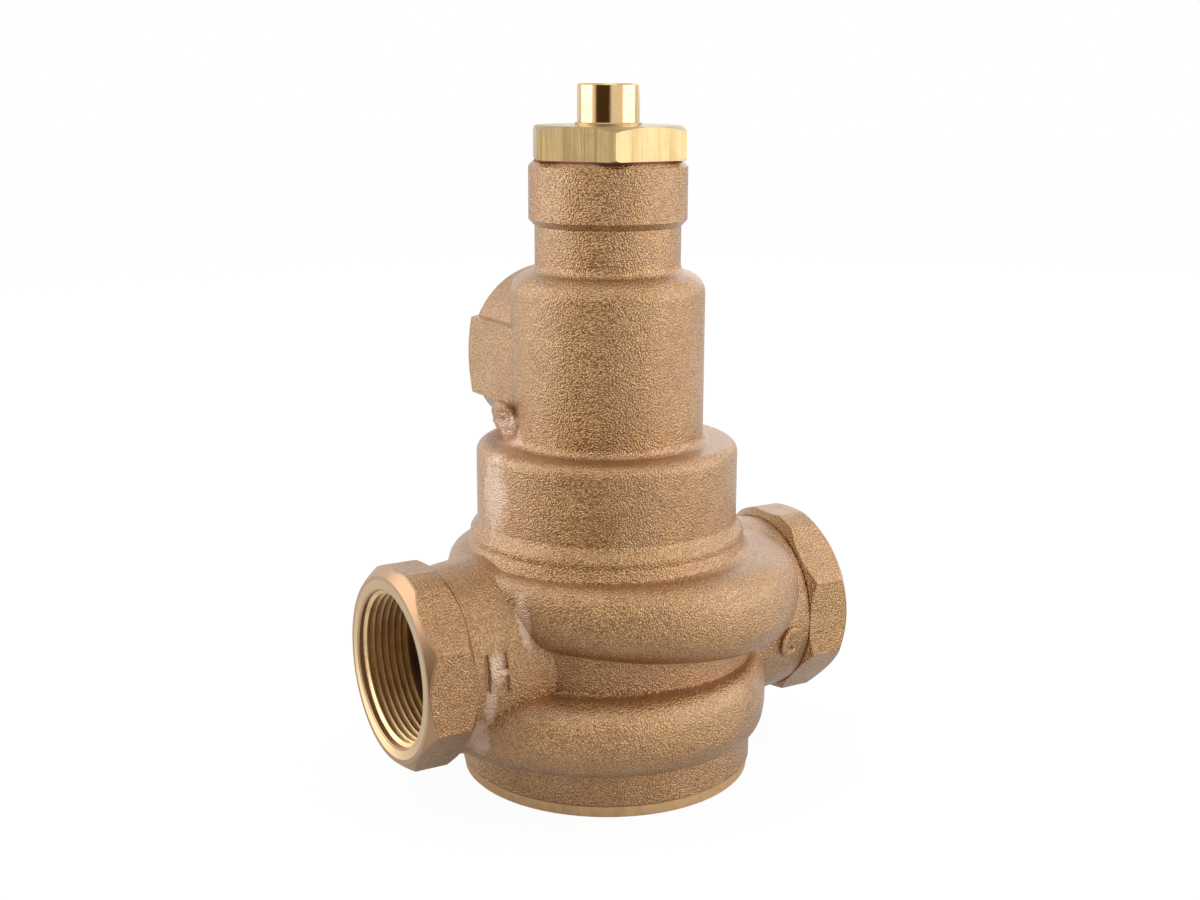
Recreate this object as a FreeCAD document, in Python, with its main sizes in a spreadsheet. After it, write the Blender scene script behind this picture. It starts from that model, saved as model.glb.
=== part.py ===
"""Mixing valve with a wax element: one bronze casting with three threaded ports and the works inside it.

The Z axis is the valve's own axis, and the origin is the middle of the underside of the base plug.
The hot port faces -X, the cold port faces +X, and the mixed outlet faces +Y above them.
"""
import FreeCAD
import Part
import Sketcher
import math
import os

DOCUMENT = FreeCAD.newDocument("mixing_valve")
SHEET = DOCUMENT.addObject("Spreadsheet::Sheet", "Sizes")

# The driving dimensions, in millimetres (counts and shares are plain numbers).
SIZES = {
    # The casting, outside, from the bottom up.
    "base_radius": 46.7,
    "base_top": 60.0,
    "wall_radius": 44.5,
    "wall_low": 62.0,
    "wall_top": 73.0,
    "step_radius": 43.3,
    "step_low": 77.0,
    "step_top": 79.4,
    "slope_top": 82.4,
    "middle_radius": 41.0,
    "ledge_height": 107.4,
    "upper_radius": 30.1,
    "shoulder_height": 160.0,
    "neck_radius": 22.45,
    "neck_top": 174.0,
    "collar_radius": 24.3,
    "collar_low": 176.0,
    "collar_top": 193.3,
    # The two galleries, each an eccentric ring that swells towards its own port.
    "gallery_radius": 56.5,
    "gallery_offset": 6.2,
    "gallery_wall": 5.5,
    "gallery_inner": 38.5,
    "hot_gallery_root": 45.5,
    "cold_gallery_root": 43.1,
    "gallery_stations": 8,
    "gallery_bluntness": 0.68,
    "gallery_flare": 0.17,
    # The flare's curve, as shares of its size: where it ends, and the poles that bend it.
    "flare_rise": 0.9,
    "flare_run": 1.3,
    "flare_dip": 0.05,
    "flare_heel": 0.35,
    "flare_bend": 0.4,
    "flare_toe": 0.6,
    "flare_lead": 0.09,
    "hot_gallery_low": 14.8,
    "hot_gallery_drop": -0.3,
    "hot_gallery_top": 39.3,
    "cold_gallery_low": 47.2,
    "cold_gallery_drop": 5.3,
    "cold_gallery_top": 73.2,
    "chamber_root": 36.5,
    "chamber_inner": 22.0,
    "hot_chamber_low": 18.5,
    "hot_chamber_top": 35.0,
    "cold_chamber_low": 53.0,
    "cold_chamber_drop": 5.5,
    "cold_chamber_top": 68.0,
    # The inlet ports: an octagon with blunt corners on a round neck, a little taller above the axis.
    "port_height": 44.4,
    "port_reach": 76.0,
    "collar_length": 13.0,
    "collar_slope": 2.3,
    "collar_side": 28.75,
    "collar_shoulder": 13.0,
    "collar_crown": 30.7,
    "collar_crown_half": 11.6,
    "collar_foot": 28.9,
    "collar_foot_half": 11.9,
    "collar_corner": 31.4,
    "face_radius": 28.5,
    "port_neck_radius": 28.3,
    "port_root_radius": 30.6,
    "thread_radius": 24.0,
    "thread_mouth": 24.65,
    "thread_depth": 18.5,
    "passage_radius": 20.0,
    "passage_end": 50.0,
    "slope_radius": 12.0,
    "slope_length": 27.0,
    "slope_angle": 48.0,
    "slope_start": 57.0,
    # The outlet port: a round boss with two wrench pads, run straight into the upper body.
    "outlet_barrel": 27.7,
    "pad_reach": 28.75,
    "pad_half": 12.2,
    "pad_corner": 31.4,
    "outlet_height": 131.0,
    "outlet_reach": 39.5,
    "outlet_thread_depth": 14.2,
    "outlet_passage": 21.0,
    # The casting, inside.
    "plug_bore": 40.0,
    "plug_bore_top": 17.5,
    "seal_bore": 42.6,
    "seal_bore_top": 7.0,
    "lower_bore": 34.0,
    "web_low": 37.0,
    "cartridge_bore": 30.0,
    "seat_shoulder": 72.0,
    "throat_radius": 24.5,
    "chamber_floor": 80.0,
    "chamber_radius": 35.3,
    "chamber_roof": 101.0,
    "head_bore": 24.5,
    "head_roof": 154.0,
    "neck_bore": 17.0,
    "bonnet_bore": 20.0,
    "bonnet_bore_low": 176.5,
    # The base plug and what stands on it.
    "flange_radius": 46.0,
    "flange_height": 4.1,
    "shank_radius": 39.7,
    "shank_top": 17.0,
    "spring_pocket": 20.5,
    "pocket_floor": 9.0,
    "spanner_circle": 33.0,
    "spanner_hole": 4.0,
    "spanner_depth": 5.0,
    "hot_seat_low": 16.0,
    "hot_seat_top": 20.0,
    "hot_seat_outer": 29.0,
    "hot_seat_inner": 21.0,
    "cold_seat_low": 66.0,
    "cold_seat_inner": 20.0,
    "cold_seat_outer": 29.85,
    # The shuttle, its guide and the wax element that it carries.
    "shuttle_radius": 25.0,
    "shuttle_inner": 22.0,
    "shuttle_low": 22.0,
    "shuttle_top": 64.0,
    "arm_low": 50.0,
    "arm_top": 56.0,
    "hub_radius": 9.0,
    "hub_top": 60.0,
    "stud_radius": 5.0,
    "stud_low": 42.0,
    "guide_bore": 25.06,
    "guide_flange": 33.6,
    "guide_flange_low": 34.0,
    "guide_top": 47.0,
    "capsule_radius": 9.5,
    "capsule_shoulder": 94.0,
    "crimp_radius": 12.0,
    "crimp_top": 99.5,
    "guide_seat": 96.0,
    "guide_stem_low": 99.0,
    "guide_stem_top": 115.0,
    "guide_stem_radius": 6.0,
    "pin_radius": 3.0,
    "pin_low": 105.0,
    "pin_top": 125.0,
    # The mixing sleeve round the element.
    "sleeve_flange": 35.0,
    "sleeve_outer": 19.0,
    "sleeve_inner": 17.5,
    "sleeve_top": 98.0,
    # The lift nut and the overload spring inside it.
    "lift_radius": 11.0,
    "lift_low": 120.0,
    "lift_top": 176.0,
    "lift_chamber": 8.6,
    "lift_chamber_top": 158.0,
    "lead_radius": 7.0,
    "key_reach": 15.2,
    "key_low": 168.0,
    "ring_groove_low": 121.5,
    "ring_groove_radius": 9.6,
    "plunger_low": 123.0,
    "plunger_top": 127.0,
    # The bonnet nut and the adjusting stem.
    "hex_across": 44.45,
    "hex_low": 194.0,
    "hex_top": 204.0,
    "hex_turn": 4.0,
    "lip_radius": 10.2,
    "lip_top": 204.9,
    "skirt_low": 163.0,
    "skirt_radius": 16.8,
    "skirt_bore": 12.5,
    "bonnet_shank": 19.8,
    "bearing_face": 185.5,
    "stem_radius": 9.5,
    "stem_top": 216.3,
    "stem_flange": 12.2,
    "stem_flange_low": 180.5,
    "stem_flange_top": 184.0,
    "lead_low": 162.0,
    "stem_groove": 7.0,
    "upper_groove": 197.5,
    "lower_groove": 190.0,
    "groove_width": 2.6,
    "running_gap": 0.06,
    # Halves and small features.
    "arm_half": 3.5,
    "key_half": 2.5,
    "slot_half": 2.5,
    "slot_height": 8.0,
    "ring_gap_half": 1.5,
    "nut_across": 16.0,
    "nut_low": 43.5,
    "socket_across": 8.0,
    "socket_depth": 7.0,
    "hex_corner": 25.66,
    "hex_face": 22.0,
}


def fill_sheet():
    """Writes one named cell for each driving dimension."""
    for row, (name, size) in enumerate(SIZES.items(), start=1):
        SHEET.set("A%d" % row, name)
        SHEET.set("B%d" % row, str(size))
        SHEET.setAlias("B%d" % row, name)
    DOCUMENT.recompute()


def amount(text):
    """The value of a sum of names and numbers, such as 'hex_top - 2'."""
    total = 0.0
    sign = 1.0
    for word in text.split():
        if word in ("+", "-"):
            sign = 1.0 if word == "+" else -1.0
        else:
            total += sign * (SIZES[word] if word in SIZES else float(word))
    return total


def bound(text):
    """The same sum, as an expression on the sheet's cells."""
    return " ".join("Sizes." + word if word in SIZES else word for word in text.split())


def origin_plane(body, role):
    """One of a body's own origin planes."""
    return [feature for feature in body.Origin.OriginFeatures if feature.Role == role][0]


def new_body(name):
    """An empty body whose label names the sub-part."""
    body = DOCUMENT.addObject("PartDesign::Body", name)
    body.Label = name
    return body


def new_sketch(body, name, plane):
    """A sketch on one of the body's origin planes."""
    sketch = body.newObject("Sketcher::SketchObject", name)
    sketch.AttachmentSupport = (origin_plane(body, plane), [""])
    sketch.MapMode = "FlatFace"
    return sketch


def place_point(sketch, line, end, across, up):
    """Ties one end of a line to sums of the sheet's cells."""
    for kind, axis, text in (("DistanceX", -2, across), ("DistanceY", -1, up)):
        if amount(text) == 0:
            sketch.addConstraint(Sketcher.Constraint("PointOnObject", line, end, axis))
        else:
            number = sketch.addConstraint(Sketcher.Constraint(kind, line, end, amount(text)))
            sketch.setExpression("Constraints[%d]" % number, bound(text))


def outline(body, name, plane, corners):
    """A closed outline of straight lines, each corner a pair of sums."""
    sketch = new_sketch(body, name, plane)
    points = [FreeCAD.Vector(amount(across), amount(up), 0) for across, up in corners]
    for start, end in zip(points, points[1:] + points[:1]):
        sketch.addGeometry(Part.LineSegment(start, end), False)
    for line in range(len(corners)):
        before = (line - 1) % len(corners)
        sketch.addConstraint(Sketcher.Constraint("Coincident", before, 2, line, 1))
    for line, (across, up) in enumerate(corners):
        place_point(sketch, line, 1, across, up)
    return sketch


def circle(body, name, plane, across, up, radius):
    """A circle whose centre and radius are sums."""
    sketch = new_sketch(body, name, plane)
    centre = FreeCAD.Vector(amount(across), amount(up), 0)
    sketch.addGeometry(Part.Circle(centre, FreeCAD.Vector(0, 0, 1), amount(radius)), False)
    place_point(sketch, 0, 3, across, up)
    number = sketch.addConstraint(Sketcher.Constraint("Radius", 0, amount(radius)))
    sketch.setExpression("Constraints[%d]" % number, bound(radius))
    return sketch


def polygon(body, name, plane, sides, across_flats, first_corner):
    """A regular polygon about the origin, its size tied to the width across its flats."""
    sketch = new_sketch(body, name, plane)
    reach = amount(across_flats) / 2 / math.cos(math.pi / sides)
    corners = []
    for corner in range(sides):
        turn = math.radians(first_corner + corner * 360.0 / sides)
        corners.append(FreeCAD.Vector(reach * math.cos(turn), reach * math.sin(turn), 0))
    for start, end in zip(corners, corners[1:] + corners[:1]):
        sketch.addGeometry(Part.LineSegment(start, end), False)
    rim = sketch.addGeometry(Part.Circle(FreeCAD.Vector(), FreeCAD.Vector(0, 0, 1), reach), True)
    sketch.addConstraint(Sketcher.Constraint("Coincident", rim, 3, -1, 1))
    for side in range(sides):
        sketch.addConstraint(Sketcher.Constraint("Coincident", (side - 1) % sides, 2, side, 1))
        sketch.addConstraint(Sketcher.Constraint("PointOnObject", side, 1, rim))
    for side in range(1, sides):
        sketch.addConstraint(Sketcher.Constraint("Equal", 0, side))
    number = sketch.addConstraint(Sketcher.Constraint("Radius", rim, reach))
    share = 2 * math.cos(math.pi / sides)
    sketch.setExpression("Constraints[%d]" % number, "%s / %.9f" % (bound(across_flats), share))
    return sketch


def turn(body, sketch, axis="V_Axis"):
    """Turns an outline all the way round one of its sketch's axes."""
    turned = body.newObject("PartDesign::Revolution", body.Name + "_turned")
    turned.Profile = sketch
    turned.ReferenceAxis = (sketch, [axis])
    turned.Angle = 360
    sketch.Visibility = False
    DOCUMENT.recompute()
    return turned


def turned_body(name, corners):
    """A sub-part turned about the valve's axis, from (radius, height) corners."""
    body = new_body(name)
    turn(body, outline(body, name + "_outline", "XZ_Plane", corners))
    return body


def pad(body, sketch, length, reverse=False):
    """Pads an outline by a sum."""
    block = body.newObject("PartDesign::Pad", sketch.Name + "_pad")
    block.Profile = sketch
    block.setExpression("Length", bound(length))
    block.Reversed = reverse
    sketch.Visibility = False
    DOCUMENT.recompute()
    return block


def pocket(body, sketch, length, reverse=False):
    """Pockets an outline by a sum, and makes sure that something was cut."""
    before = body.Shape.Volume
    cut = body.newObject("PartDesign::Pocket", sketch.Name + "_cut")
    cut.Profile = sketch
    cut.setExpression("Length", bound(length))
    cut.Reversed = reverse
    sketch.Visibility = False
    DOCUMENT.recompute()
    if body.Shape.Volume >= before:
        raise RuntimeError(sketch.Name + " cuts nothing")
    return cut


def offset_sketch(sketch, height):
    """Lifts a sketch off its plane by a sum."""
    sketch.setExpression("AttachmentOffset.Base.z", bound(height))


def repeat_round(body, feature, count):
    """Repeats a feature evenly round the valve's axis."""
    pattern = body.newObject("PartDesign::PolarPattern", feature.Name + "_round")
    pattern.Originals = [feature]
    pattern.Axis = (feature.Profile[0], ["N_Axis"])
    pattern.Angle = 360
    pattern.Occurrences = count
    body.Tip = pattern
    DOCUMENT.recompute()
    return pattern


def rings_at(shape, places):
    """The names of the circular edges with these radii and heights."""
    names = []
    for number, edge in enumerate(shape.Edges, start=1):
        if not isinstance(edge.Curve, Part.Circle):
            continue
        for radius, height in places:
            near = abs(edge.Curve.Radius - amount(radius)) < 0.01
            if near and abs(edge.Curve.Center.z - amount(height)) < 0.01:
                names.append("Edge%d" % number)
    return names


def dress(body, kind, size, places):
    """Rounds or chamfers circular edges of a turned body."""
    base = body.Tip
    names = rings_at(base.Shape, places)
    if len(names) < len(places):
        raise RuntimeError("%s has no such edge in %s" % (body.Name, places))
    dressed = body.newObject("PartDesign::" + kind, "%s_%s" % (base.Name, kind.lower()))
    dressed.Base = (base, names)
    if kind == "Fillet":
        dressed.Radius = size
    else:
        dressed.Size = size
    body.Tip = dressed
    DOCUMENT.recompute()
    return dressed


def combine(kind, name, shapes):
    """A boolean of several shapes: MultiFuse or MultiCommon, or Cut with two."""
    result = DOCUMENT.addObject("Part::" + kind, name)
    if kind == "Cut":
        result.Base = shapes[0]
        result.Tool = shapes[1]
    else:
        result.Shapes = shapes
    result.Label = name
    DOCUMENT.recompute()
    return result


def section(angle, low, high, reach, root, inner, flare):
    """One gallery section: a blunt bulge of two quarter curves on a straight wall, cut at an angle.

    The flare is the moulder's fillet, a hollow curve from the top of the bulge up into the wall.
    """
    bluntness = SIZES["gallery_bluntness"]
    middle = (low + high) / 2
    foot = root + SIZES["flare_run"] * flare
    brow = high + SIZES["flare_rise"] * flare
    top = high - SIZES["flare_dip"] * flare
    lead = high - SIZES["flare_lead"] * flare
    lower_out = root + (reach - root) * bluntness
    upper_out = foot + (reach - foot) * bluntness
    rise = (high - low) / 2 * bluntness

    def point(radius, height):
        return FreeCAD.Vector(radius * math.cos(angle), radius * math.sin(angle), height)

    def quarter(corners):
        curve = Part.BezierCurve()
        curve.setPoles([point(radius, height) for radius, height in corners])
        return curve.toShape()

    def straight(start, end):
        return Part.LineSegment(point(*start), point(*end)).toShape()

    edges = [straight((inner, brow), (root, brow))]
    if flare:
        heel = (root + SIZES["flare_heel"] * flare, high + SIZES["flare_bend"] * flare)
        toe = (root + SIZES["flare_toe"] * flare, high)
        edges.append(quarter([(root, brow), heel, toe, (foot, top)]))
    edges += [
        quarter([(foot, top), (upper_out, lead), (reach, middle + rise), (reach, middle)]),
        quarter([(reach, middle), (reach, middle - rise), (lower_out, low), (root, low)]),
        straight((root, low), (inner, low)),
        straight((inner, low), (inner, brow)),
    ]
    return Part.Wire(edges)


def gallery(name, port_angle, low, drop, high, wall, root, inner, flare=0.0):
    """An eccentric ring round the axis, widest and deepest at its port's side.

    Two mirrored halves meet in the plane of the ports, where the mould parts.
    """
    radius = SIZES["gallery_radius"] - wall
    offset = SIZES["gallery_offset"]
    sections = []
    stations = SIZES["gallery_stations"]
    for station in range(stations + 1):
        away = math.pi * station / stations
        reach = offset * math.cos(away) + math.sqrt(radius ** 2 - (offset * math.sin(away)) ** 2)
        bottom = low - drop * math.cos(away)
        sections.append(section(port_angle + away, bottom, high, reach, root, inner, flare * (reach - root)))
    half = Part.makeLoft(sections, True, False)
    other = half.mirror(FreeCAD.Vector(), FreeCAD.Vector(0, 1, 0))
    ring = DOCUMENT.addObject("Part::Feature", name)
    ring.Shape = half.fuse(other)
    ring.Label = name
    return ring


def make_core():
    """The turned heart of the casting, from the base to the collar, before it is bored."""
    corners = [
        ("0", "flange_height"),
        ("base_radius", "flange_height"),
        ("base_radius", "base_top"),
        ("wall_radius", "wall_low"),
        ("wall_radius", "wall_top"),
        ("step_radius", "step_low"),
        ("step_radius", "step_top"),
        ("middle_radius", "slope_top"),
        ("middle_radius", "ledge_height"),
        ("upper_radius", "ledge_height"),
        ("upper_radius", "shoulder_height"),
        ("neck_radius", "shoulder_height"),
        ("neck_radius", "neck_top"),
        ("collar_radius", "collar_low"),
        ("collar_radius", "collar_top"),
        ("0", "collar_top"),
    ]
    core = turned_body("core", corners)
    dress(core, "Fillet", 6.5, [("upper_radius", "shoulder_height")])
    dress(core, "Fillet", 3.5, [("middle_radius", "ledge_height")])
    dress(core, "Fillet", 2.5, [("upper_radius", "ledge_height"), ("neck_radius", "shoulder_height")])
    dress(core, "Fillet", 2.5, [("middle_radius", "slope_top"), ("step_radius", "step_top")])
    dress(core, "Chamfer", 1.3, [("collar_radius", "collar_top")])
    return core


def make_block(name, half, low, high, reach):
    """A block along +X, as wide as twice its half width, from low to high."""
    block = new_body(name)
    corners = [(half, low), (half, high), ("0 - " + half, high), ("0 - " + half, low)]
    pad(block, outline(block, name + "_outline", "YZ_Plane", corners), reach)
    return block


def make_rim(name, reach, back, corner):
    """The envelope that a port is turned to: a cone at its face, and one at its back on a neck."""
    rim = new_body(name + "_rim")
    corners = [
        (back, "0"),
        (back, corner + " - collar_slope"),
        (back + " + collar_slope", corner),
        (reach + " - " + corner + " + face_radius", corner),
        (reach, "face_radius"),
        (reach, "0"),
    ]
    turn(rim, outline(rim, name + "_rim_outline", "XZ_Plane", corners), "H_Axis")
    return rim


def make_inlet_outside(name):
    """An inlet's octagon, turned blunt on its corners and on its face, with its neck, along +X."""
    prism = new_body(name + "_prism")
    flats = [
        ("collar_crown_half", "collar_crown"),
        ("collar_side", "collar_shoulder"),
        ("collar_side", "0 - collar_foot_half"),
        ("collar_foot_half", "0 - collar_foot"),
        ("0 - collar_foot_half", "0 - collar_foot"),
        ("0 - collar_side", "0 - collar_foot_half"),
        ("0 - collar_side", "collar_shoulder"),
        ("0 - collar_crown_half", "collar_crown"),
    ]
    pad(prism, outline(prism, name + "_flats", "YZ_Plane", flats), "port_reach")
    rim = make_rim(name, "port_reach", "port_reach - collar_length - collar_slope", "collar_corner")
    collar = combine("MultiCommon", name + "_collar", [rim, prism])
    neck = new_body(name + "_neck")
    cone = [
        ("cartridge_bore", "0"),
        ("cartridge_bore", "port_root_radius"),
        ("wall_radius", "port_root_radius"),
        ("port_reach - collar_length", "port_neck_radius"),
        ("port_reach - collar_length + 1", "port_neck_radius"),
        ("port_reach - collar_length + 1", "0"),
    ]
    turn(neck, outline(neck, name + "_neck_outline", "XZ_Plane", cone), "H_Axis")
    return combine("MultiFuse", name + "_outside", [collar, neck])


def make_outlet_outside():
    """The outlet's round boss with its two wrench pads, turned on its face, along +X."""
    barrel = new_body("outlet_barrel")
    pad(barrel, circle(barrel, "outlet_barrel_circle", "YZ_Plane", "0", "0", "outlet_barrel"), "outlet_reach")
    pads = make_block("outlet_pads", "pad_reach", "0 - pad_half", "pad_half", "outlet_reach")
    blank = combine("MultiFuse", "outlet_blank", [barrel, pads])
    rim = make_rim("outlet", "outlet_reach", "0", "pad_corner")
    return combine("MultiCommon", "outlet_outside", [rim, blank])


def make_port_bore(name, reach, depth, passage, end):
    """A port's plain thread bore with a chamfered mouth, and the passage behind it, along +X."""
    bore = new_body(name + "_bore")
    corners = [
        (end, "0"),
        (end, passage),
        (reach + " - " + depth, passage),
        (reach + " - " + depth, "thread_radius"),
        (reach + " - thread_mouth + thread_radius", "thread_radius"),
        (reach, "thread_mouth"),
        (reach + " + 3", "thread_mouth"),
        (reach + " + 3", "0"),
    ]
    turn(bore, outline(bore, name + "_bore_outline", "XZ_Plane", corners), "H_Axis")
    return bore


def place(thing, turn_angle, height):
    """Turns a port about the valve's axis and lifts it to its height."""
    spin = FreeCAD.Rotation(FreeCAD.Vector(0, 0, 1), turn_angle)
    thing.Placement = FreeCAD.Placement(FreeCAD.Vector(0, 0, SIZES[height]), spin)
    thing.setExpression("Placement.Base.z", bound(height))
    return thing


def make_slope(name, side, rise):
    """The sloping passage from an inlet into its gallery, drilled from inside the port."""
    throat = DOCUMENT.addObject("Part::Cylinder", name)
    throat.setExpression("Radius", bound("slope_radius"))
    throat.setExpression("Height", bound("slope_length"))
    lean = FreeCAD.Rotation(FreeCAD.Vector(0, 1, 0), side * (-90 - rise * SIZES["slope_angle"]))
    start = FreeCAD.Vector(side * SIZES["slope_start"], 0, SIZES["port_height"])
    throat.Placement = FreeCAD.Placement(start, lean)
    return throat


def make_bores():
    """Everything that is bored out about the valve's axis."""
    corners = [
        ("0", "flange_height - 1"),
        ("seal_bore", "flange_height - 1"),
        ("seal_bore", "seal_bore_top"),
        ("plug_bore", "seal_bore_top"),
        ("plug_bore", "plug_bore_top"),
        ("lower_bore", "plug_bore_top"),
        ("lower_bore", "web_low"),
        ("cartridge_bore", "web_low"),
        ("cartridge_bore", "seat_shoulder"),
        ("throat_radius", "seat_shoulder"),
        ("throat_radius", "chamber_floor"),
        ("chamber_radius", "chamber_floor"),
        ("chamber_radius", "chamber_roof"),
        ("head_bore", "chamber_roof"),
        ("head_bore", "head_roof"),
        ("neck_bore", "head_roof"),
        ("neck_bore", "bonnet_bore_low"),
        ("bonnet_bore", "bonnet_bore_low"),
        ("bonnet_bore", "collar_top + 1"),
        ("0", "collar_top + 1"),
    ]
    return turned_body("bores", corners)


def make_valve_body():
    """The casting: core, two galleries, three ports, and the chambers and passages inside."""
    inside = SIZES["gallery_wall"]
    inner = SIZES["gallery_inner"]
    flare = SIZES["gallery_flare"]
    inlets = []
    bores = []
    for side, angle in (("cold", 0), ("hot", 180)):
        outside = make_inlet_outside(side + "_port")
        inlets.append(place(outside, angle, "port_height"))
        bore = make_port_bore(side + "_port", "port_reach", "thread_depth", "passage_radius", "passage_end")
        bores.append(place(bore, angle, "port_height"))
    outlet = make_outlet_outside()
    outlet_bore = make_port_bore("outlet", "outlet_reach", "outlet_thread_depth", "outlet_passage", "0")
    place(outlet, 90, "outlet_height")
    place(outlet_bore, 90, "outlet_height")
    galleries = [
        gallery("hot_gallery", math.pi, SIZES["hot_gallery_low"], SIZES["hot_gallery_drop"],
                SIZES["hot_gallery_top"], 0, SIZES["hot_gallery_root"], inner, flare),
        gallery("cold_gallery", 0, SIZES["cold_gallery_low"], SIZES["cold_gallery_drop"],
                SIZES["cold_gallery_top"], 0, SIZES["cold_gallery_root"], inner, flare),
    ]
    chambers = [
        gallery("hot_chamber", math.pi, SIZES["hot_chamber_low"], 0,
                SIZES["hot_chamber_top"], inside, SIZES["chamber_root"], SIZES["chamber_inner"]),
        gallery("cold_chamber", 0, SIZES["cold_chamber_low"], SIZES["cold_chamber_drop"],
                SIZES["cold_chamber_top"], inside, SIZES["chamber_root"], SIZES["chamber_inner"]),
    ]
    slopes = [make_slope("cold_slope", 1, 1), make_slope("hot_slope", -1, -1)]
    solid = combine("MultiFuse", "casting_solid", [make_core(), outlet] + inlets + galleries)
    hollow = combine("MultiFuse", "casting_hollow", [make_bores(), outlet_bore] + bores + chambers + slopes)
    return combine("Cut", "valve_body", [solid, hollow])


def make_base_plug():
    """The brass plug that closes the underside: the flange it all stands on, a shank and a spring pocket."""
    plug = turned_body("base_plug", [
        ("0", "0"),
        ("flange_radius", "0"),
        ("flange_radius", "flange_height"),
        ("shank_radius", "flange_height"),
        ("shank_radius", "shank_top"),
        ("hot_seat_outer + 0.15", "shank_top"),
        ("hot_seat_outer + 0.15", "hot_seat_low"),
        ("spring_pocket", "hot_seat_low"),
        ("spring_pocket", "pocket_floor"),
        ("0", "pocket_floor"),
    ])
    dress(plug, "Chamfer", 0.6, [("flange_radius", "0"), ("flange_radius", "flange_height")])
    dress(plug, "Chamfer", 1.0, [("shank_radius", "shank_top")])
    hole = circle(plug, "spanner_hole_outline", "XY_Plane", "spanner_circle", "0", "spanner_hole")
    repeat_round(plug, pocket(plug, hole, "spanner_depth", True), 4)
    return plug


def make_ring(name, inner, outer, low, high):
    """A plain flat ring."""
    return turned_body(name, [(inner, low), (outer, low), (outer, high), (inner, high)])


def make_oring(name, radius, section_radius, height):
    """A rubber ring of round section."""
    ring = DOCUMENT.addObject("Part::Torus", name)
    ring.setExpression("Radius1", bound(radius))
    ring.Radius2 = section_radius
    ring.setExpression("Placement.Base.z", bound(height))
    ring.Label = name
    DOCUMENT.recompute()
    return ring


def make_hot_seat():
    """The ring in the plug that the shuttle's lower edge closes on, with a raised, bevelled lip."""
    return turned_body("hot_seat", [
        ("hot_seat_inner", "hot_seat_low"),
        ("hot_seat_outer", "hot_seat_low"),
        ("hot_seat_outer", "hot_seat_top - 1.5"),
        ("shuttle_radius + 0.6", "hot_seat_top"),
        ("hot_seat_inner", "hot_seat_top"),
    ])


def make_cold_seat():
    """The ring under the throat that the shuttle's upper edge closes on."""
    return turned_body("cold_seat", [
        ("cold_seat_inner", "cold_seat_low"),
        ("shuttle_radius + 0.6", "cold_seat_low"),
        ("cold_seat_outer", "cold_seat_low + 1.5"),
        ("cold_seat_outer", "seat_shoulder"),
        ("cold_seat_inner + 1.5", "seat_shoulder"),
        ("cold_seat_inner", "seat_shoulder - 1.5"),
    ])


def make_shuttle():
    """The sliding sleeve that shuts one inlet as it opens the other, with four arms and a hub inside."""
    shuttle = turned_body("shuttle", [
        ("shuttle_inner", "shuttle_low"),
        ("shuttle_radius - 0.8", "shuttle_low"),
        ("shuttle_radius", "shuttle_low + 0.8"),
        ("shuttle_radius", "shuttle_top - 0.8"),
        ("shuttle_radius - 0.8", "shuttle_top"),
        ("shuttle_inner", "shuttle_top"),
    ])
    arm = outline(shuttle, "arm_outline", "XY_Plane", [
        ("0", "0 - arm_half"),
        ("shuttle_inner + 1", "0 - arm_half"),
        ("shuttle_inner + 1", "arm_half"),
        ("0", "arm_half"),
    ])
    offset_sketch(arm, "arm_low")
    repeat_round(shuttle, pad(shuttle, arm, "arm_top - arm_low"), 4)
    hub = circle(shuttle, "hub_outline", "XY_Plane", "0", "0", "hub_radius")
    offset_sketch(hub, "arm_low")
    pad(shuttle, hub, "hub_top - arm_low")
    bore = circle(shuttle, "hub_bore_outline", "XY_Plane", "0", "0", "stud_radius + 0.1")
    offset_sketch(bore, "arm_low")
    pocket(shuttle, bore, "hub_top - arm_low", True)
    return shuttle


def make_shuttle_guide():
    """The flanged bush in the web between the galleries, with a groove for the shuttle's seal."""
    return turned_body("shuttle_guide", [
        ("guide_bore", "guide_flange_low"),
        ("guide_flange", "guide_flange_low"),
        ("guide_flange", "web_low"),
        ("cold_seat_outer", "web_low"),
        ("cold_seat_outer", "guide_top"),
        ("guide_bore", "guide_top"),
        ("guide_bore", "guide_top - 3.7"),
        ("guide_bore + 2.5", "guide_top - 3.7"),
        ("guide_bore + 2.5", "guide_top - 6.1"),
        ("guide_bore", "guide_top - 6.1"),
    ])


def make_spring(name, mean_radius, wire_radius, low, high, turns):
    """A compression spring with both ends ground flat, its wire drawn with ten narrow sides."""
    height = amount(high) - amount(low)
    path = DOCUMENT.addObject("Part::Helix", name + "_path")
    path.Radius = mean_radius
    path.Height = height
    path.Pitch = height / turns
    path.Placement.Base.z = amount(low)
    wire = DOCUMENT.addObject("Part::RegularPolygon", name + "_wire")
    wire.Polygon = 10
    wire.Circumradius = wire_radius
    upright = FreeCAD.Rotation(FreeCAD.Vector(1, 0, 0), 90)
    wire.Placement = FreeCAD.Placement(FreeCAD.Vector(mean_radius, 0, amount(low)), upright)
    coil = DOCUMENT.addObject("Part::Sweep", name + "_coil")
    coil.Sections = [wire]
    coil.Spine = (path, ["Edge1"])
    coil.Solid = True
    coil.Frenet = True
    slab = DOCUMENT.addObject("Part::Cylinder", name + "_slab")
    slab.Radius = mean_radius + 2 * wire_radius
    slab.Height = height
    slab.Placement.Base.z = amount(low)
    for thing, field in ((path, "Height"), (slab, "Height")):
        thing.setExpression(field, bound(high + " - " + low))
    for thing in (path, slab):
        thing.setExpression("Placement.Base.z", bound(low))
    DOCUMENT.recompute()
    return combine("MultiCommon", name, [coil, slab])


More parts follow.
